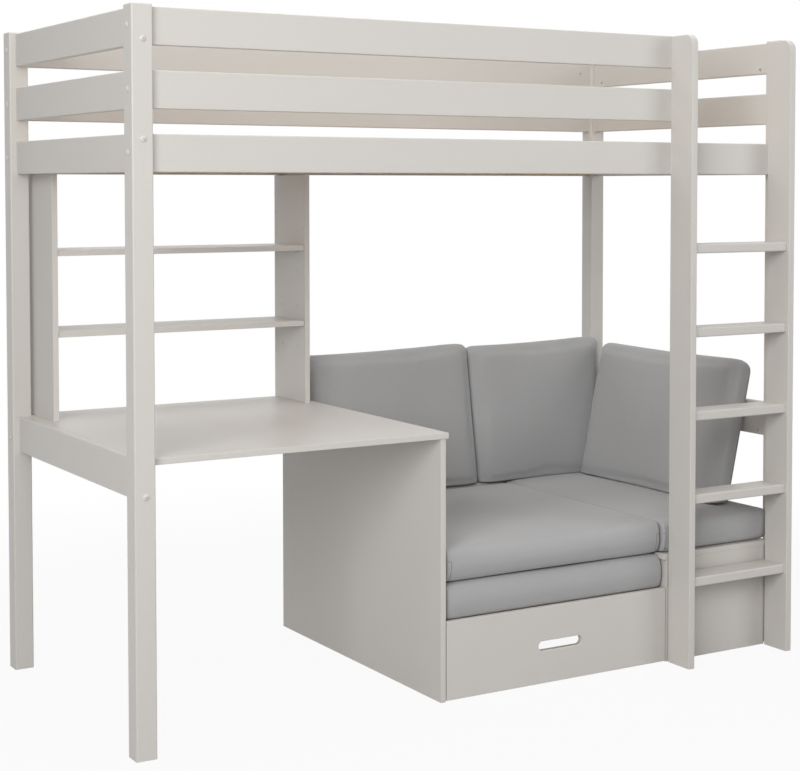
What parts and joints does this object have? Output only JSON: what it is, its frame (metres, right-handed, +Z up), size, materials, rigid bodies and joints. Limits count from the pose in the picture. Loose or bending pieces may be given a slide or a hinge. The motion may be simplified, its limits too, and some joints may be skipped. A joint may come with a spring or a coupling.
{
  "type": "high sleeper bed",
  "caption": "High sleeper bed with guard rails and ladder over a desk with shelves and a sofa whose base pulls out and whose seat pad unfolds into a second bed.",
  "frame": {"origin": "middle of the footprint on the floor", "axes": "+X along the bed from the desk to the ladder end, +Y from the front to the back, +Z up"},
  "size_m": [2.0996, 1.0638, 1.82],
  "materials": {
    "painted_wood": "satin paint",
    "painted_board": "satin paint",
    "bare_wood": "planed, unfinished",
    "upholstery": "plain weave",
    "webbing": "woven tape",
    "painted_steel": "satin paint",
    "steel": "zinc plated",
    "castor_plastic": "moulded"
  },
  "bodies": {
    "bed": {"arm_cushion": "upholstery", "back_cushion_left": "upholstery", "back_cushion_right": "upholstery", "back_rail_bottom": "painted_wood", "back_rail_low": "painted_wood", "back_rail_middle": "painted_wood", "back_rail_top": "painted_wood", "barrel_nuts": "steel", "bed_slats": "bare_wood", "desk_bearer": "bare_wood", "desk_side_panel": "painted_board", "desk_top": "painted_board", "dowels": "bare_wood", "front_rail_bottom": "painted_wood", "front_rail_middle": "painted_wood", "front_rail_top": "painted_wood", "infill_pad": "upholstery", "ladder_rung_1": "painted_wood", "ladder_rung_2": "painted_wood", "ladder_rung_3": "painted_wood", "ladder_rung_4": "painted_wood", "ladder_rung_5": "painted_wood", "ladder_upright_left": "painted_wood", "ladder_upright_right": "painted_wood", "left_rail_bottom": "painted_wood", "left_rail_low": "painted_wood", "left_rail_middle": "painted_wood", "left_rail_top": "painted_wood", "pad_hinge_strip": "upholstery", "post_back_left": "painted_wood", "post_back_right": "painted_wood", "post_front_left": "painted_wood", "post_front_right": "painted_wood", "rail_bolts": "painted_steel", "right_rail_bottom": "painted_wood", "right_rail_low": "painted_wood", "right_rail_middle": "painted_wood", "right_rail_top": "painted_wood", "screws": "steel", "seat_beams": "bare_wood", "seat_pad_lower": "upholstery", "seat_slats_fixed": "bare_wood", "shelf_lower": "painted_board", "shelf_pins": "steel", "shelf_upper": "painted_board", "shelf_upright_left": "painted_board", "shelf_upright_right": "painted_board", "slat_bearers": "bare_wood", "slat_tapes": "webbing", "sofa_divider": "painted_board", "sofa_front_panel": "painted_board", "sofa_platform": "painted_board", "sofa_side_panel": "painted_board"},
    "pull_out": {"pullout_front": "painted_board", "pullout_ledger": "bare_wood", "pullout_slats": "bare_wood", "pullout_tie": "bare_wood", "castor_brackets": "steel"},
    "castors": {"castor_wheels": "castor_plastic"},
    "upper_pad": {"seat_pad_upper": "upholstery"}
  },
  "joints": [
    {"name": "pull_out_slide", "type": "slide", "parent": "bed", "child": "pull_out", "axis": [0, -1, 0], "range_m": [0, 0.76]},
    {"name": "castor_roll", "type": "hinge", "parent": "pull_out", "child": "castors", "pos_m": [0.21925, -0.3825, 0.025], "axis": [1, 0, 0], "range_deg": [0, 1745]},
    {"name": "pad_unfold", "type": "hinge", "parent": "bed", "child": "upper_pad", "pos_m": [0.21925, -0.4255, 0.31575], "axis": [1, 0, 0], "range_deg": [0, 180]}
  ],
  "couplings": [
    {"joint": "castor_roll", "follows": "pull_out_slide", "rad_per_m": 40}
  ]
}
